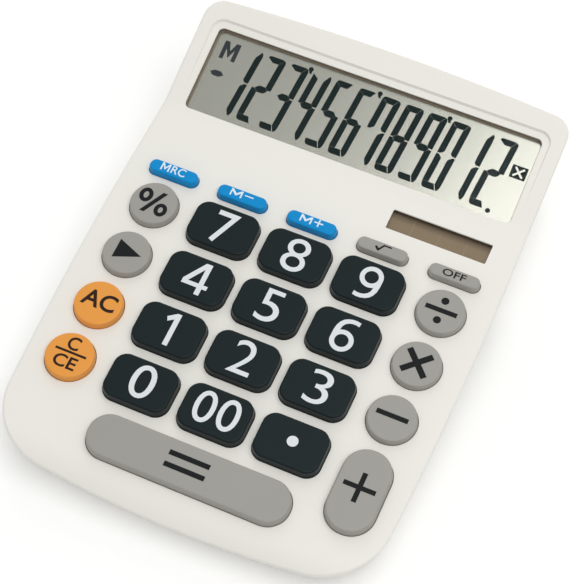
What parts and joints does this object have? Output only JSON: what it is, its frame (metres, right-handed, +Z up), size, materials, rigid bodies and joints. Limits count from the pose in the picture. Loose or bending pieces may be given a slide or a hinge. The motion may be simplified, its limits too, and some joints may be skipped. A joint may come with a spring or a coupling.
{
  "type": "desktop calculator",
  "caption": "Free-standing desktop calculator with a raised sloping display, a solar window and large rounded keys, on a low keyboard deck with a deeper stand at the back.",
  "frame": {"origin": "on the table, under the middle of the case's box", "axes": "+X to the right of the person at the keys, +Y from the front edge to the display, +Z up"},
  "size_m": [0.125, 0.167, 0.0379],
  "materials": {
    "case": "fine satin",
    "black_key": "satin",
    "grey_key": "satin",
    "orange_key": "satin",
    "blue_key": "satin",
    "clear_window": "polished",
    "display_glass": "polished",
    "polariser": "satin",
    "reflector": "satin",
    "tape": "matt",
    "dark_frame": "matt",
    "ribbon": "satin",
    "solar_cell": "glossy",
    "silicone": "matt",
    "board": "satin",
    "resin": "glossy",
    "capacitor": "matt",
    "resistor": "matt",
    "wire": "satin",
    "screw": "zinc plated",
    "contact": "nickel plated",
    "battery": "printed sleeve",
    "foot": "matt"
  },
  "bodies": {
    "housing": {"top_case": "case", "bottom_case": "case", "display_window": "clear_window", "solar_window": "clear_window", "window_tape": "tape", "display_frame": "dark_frame", "lcd_polariser": "polariser", "lcd_glass": "display_glass", "lcd_reflector": "reflector", "display_ribbon": "ribbon", "solar_cell": "solar_cell", "key_mat": "silicone", "main_board": "board", "chip_cover": "resin", "capacitors": "capacitor", "resistors": "resistor", "solar_leads": "wire", "battery_leads": "wire", "board_screws": "screw", "frame_screws": "screw", "case_screws": "screw", "rubber_feet": "foot", "battery_cell": "battery", "battery_plus_contact": "contact", "battery_minus_contact": "contact"},
    "key_0": {"key_0": "black_key"},
    "key_00": {"key_00": "black_key"},
    "key_point": {"key_point": "black_key"},
    "key_1": {"key_1": "black_key"},
    "key_2": {"key_2": "black_key"},
    "key_3": {"key_3": "black_key"},
    "key_4": {"key_4": "black_key"},
    "key_5": {"key_5": "black_key"},
    "key_6": {"key_6": "black_key"},
    "key_7": {"key_7": "black_key"},
    "key_8": {"key_8": "black_key"},
    "key_9": {"key_9": "black_key"},
    "key_percent": {"key_percent": "grey_key"},
    "key_backspace": {"key_backspace": "grey_key"},
    "key_divide": {"key_divide": "grey_key"},
    "key_multiply": {"key_multiply": "grey_key"},
    "key_subtract": {"key_subtract": "grey_key"},
    "key_add": {"key_add": "grey_key"},
    "key_equals": {"key_equals": "grey_key"},
    "key_square_root": {"key_square_root": "grey_key"},
    "key_off": {"key_off": "grey_key"},
    "key_all_clear": {"key_all_clear": "orange_key"},
    "key_clear": {"key_clear": "orange_key"},
    "key_memory_recall": {"key_memory_recall": "blue_key"},
    "key_memory_minus": {"key_memory_minus": "blue_key"},
    "key_memory_plus": {"key_memory_plus": "blue_key"},
    "battery_door": {"battery_door": "case"}
  },
  "joints": [
    {"name": "press_0", "type": "slide", "parent": "housing", "child": "key_0", "axis": [0, 0.0872, -0.9962], "range_m": [0, 0.0015], "stiffness_N_per_m": 500, "springref_m": -0.0006, "deforming": ["key_mat"]},
    {"name": "press_00", "type": "slide", "parent": "housing", "child": "key_00", "axis": [0, 0.0872, -0.9962], "range_m": [0, 0.0015], "stiffness_N_per_m": 500, "springref_m": -0.0006, "deforming": ["key_mat"]},
    {"name": "press_point", "type": "slide", "parent": "housing", "child": "key_point", "axis": [0, 0.0872, -0.9962], "range_m": [0, 0.0015], "stiffness_N_per_m": 500, "springref_m": -0.0006, "deforming": ["key_mat"]},
    {"name": "press_1", "type": "slide", "parent": "housing", "child": "key_1", "axis": [0, 0.0872, -0.9962], "range_m": [0, 0.0015], "stiffness_N_per_m": 500, "springref_m": -0.0006, "deforming": ["key_mat"]},
    {"name": "press_2", "type": "slide", "parent": "housing", "child": "key_2", "axis": [0, 0.0872, -0.9962], "range_m": [0, 0.0015], "stiffness_N_per_m": 500, "springref_m": -0.0006, "deforming": ["key_mat"]},
    {"name": "press_3", "type": "slide", "parent": "housing", "child": "key_3", "axis": [0, 0.0872, -0.9962], "range_m": [0, 0.0015], "stiffness_N_per_m": 500, "springref_m": -0.0006, "deforming": ["key_mat"]},
    {"name": "press_4", "type": "slide", "parent": "housing", "child": "key_4", "axis": [0, 0.0872, -0.9962], "range_m": [0, 0.0015], "stiffness_N_per_m": 500, "springref_m": -0.0006, "deforming": ["key_mat"]},
    {"name": "press_5", "type": "slide", "parent": "housing", "child": "key_5", "axis": [0, 0.0872, -0.9962], "range_m": [0, 0.0015], "stiffness_N_per_m": 500, "springref_m": -0.0006, "deforming": ["key_mat"]},
    {"name": "press_6", "type": "slide", "parent": "housing", "child": "key_6", "axis": [0, 0.0872, -0.9962], "range_m": [0, 0.0015], "stiffness_N_per_m": 500, "springref_m": -0.0006, "deforming": ["key_mat"]},
    {"name": "press_7", "type": "slide", "parent": "housing", "child": "key_7", "axis": [0, 0.0872, -0.9962], "range_m": [0, 0.0015], "stiffness_N_per_m": 500, "springref_m": -0.0006, "deforming": ["key_mat"]},
    {"name": "press_8", "type": "slide", "parent": "housing", "child": "key_8", "axis": [0, 0.0872, -0.9962], "range_m": [0, 0.0015], "stiffness_N_per_m": 500, "springref_m": -0.0006, "deforming": ["key_mat"]},
    {"name": "press_9", "type": "slide", "parent": "housing", "child": "key_9", "axis": [0, 0.0872, -0.9962], "range_m": [0, 0.0015], "stiffness_N_per_m": 500, "springref_m": -0.0006, "deforming": ["key_mat"]},
    {"name": "press_percent", "type": "slide", "parent": "housing", "child": "key_percent", "axis": [0, 0.0872, -0.9962], "range_m": [0, 0.0015], "stiffness_N_per_m": 500, "springref_m": -0.0006, "deforming": ["key_mat"]},
    {"name": "press_backspace", "type": "slide", "parent": "housing", "child": "key_backspace", "axis": [0, 0.0872, -0.9962], "range_m": [0, 0.0015], "stiffness_N_per_m": 500, "springref_m": -0.0006, "deforming": ["key_mat"]},
    {"name": "press_divide", "type": "slide", "parent": "housing", "child": "key_divide", "axis": [0, 0.0872, -0.9962], "range_m": [0, 0.0015], "stiffness_N_per_m": 500, "springref_m": -0.0006, "deforming": ["key_mat"]},
    {"name": "press_multiply", "type": "slide", "parent": "housing", "child": "key_multiply", "axis": [0, 0.0872, -0.9962], "range_m": [0, 0.0015], "stiffness_N_per_m": 500, "springref_m": -0.0006, "deforming": ["key_mat"]},
    {"name": "press_subtract", "type": "slide", "parent": "housing", "child": "key_subtract", "axis": [0, 0.0872, -0.9962], "range_m": [0, 0.0015], "stiffness_N_per_m": 500, "springref_m": -0.0006, "deforming": ["key_mat"]},
    {"name": "press_add", "type": "slide", "parent": "housing", "child": "key_add", "axis": [0, 0.0872, -0.9962], "range_m": [0, 0.0015], "stiffness_N_per_m": 500, "springref_m": -0.0006, "deforming": ["key_mat"]},
    {"name": "press_equals", "type": "slide", "parent": "housing", "child": "key_equals", "axis": [0, 0.0872, -0.9962], "range_m": [0, 0.0015], "stiffness_N_per_m": 500, "springref_m": -0.0006, "deforming": ["key_mat"]},
    {"name": "press_square_root", "type": "slide", "parent": "housing", "child": "key_square_root", "axis": [0, 0.0872, -0.9962], "range_m": [0, 0.0015], "stiffness_N_per_m": 500, "springref_m": -0.0006, "deforming": ["key_mat"]},
    {"name": "press_off", "type": "slide", "parent": "housing", "child": "key_off", "axis": [0, 0.0872, -0.9962], "range_m": [0, 0.0015], "stiffness_N_per_m": 500, "springref_m": -0.0006, "deforming": ["key_mat"]},
    {"name": "press_all_clear", "type": "slide", "parent": "housing", "child": "key_all_clear", "axis": [0, 0.0872, -0.9962], "range_m": [0, 0.0015], "stiffness_N_per_m": 500, "springref_m": -0.0006, "deforming": ["key_mat"]},
    {"name": "press_clear", "type": "slide", "parent": "housing", "child": "key_clear", "axis": [0, 0.0872, -0.9962], "range_m": [0, 0.0015], "stiffness_N_per_m": 500, "springref_m": -0.0006, "deforming": ["key_mat"]},
    {"name": "press_memory_recall", "type": "slide", "parent": "housing", "child": "key_memory_recall", "axis": [0, 0.0872, -0.9962], "range_m": [0, 0.0015], "stiffness_N_per_m": 500, "springref_m": -0.0006, "deforming": ["key_mat"]},
    {"name": "press_memory_minus", "type": "slide", "parent": "housing", "child": "key_memory_minus", "axis": [0, 0.0872, -0.9962], "range_m": [0, 0.0015], "stiffness_N_per_m": 500, "springref_m": -0.0006, "deforming": ["key_mat"]},
    {"name": "press_memory_plus", "type": "slide", "parent": "housing", "child": "key_memory_plus", "axis": [0, 0.0872, -0.9962], "range_m": [0, 0.0015], "stiffness_N_per_m": 500, "springref_m": -0.0006, "deforming": ["key_mat"]},
    {"name": "battery_door_slide", "type": "slide", "parent": "housing", "child": "battery_door", "axis": [0, 1, 0], "range_m": [0, 0.032]}
  ]
}
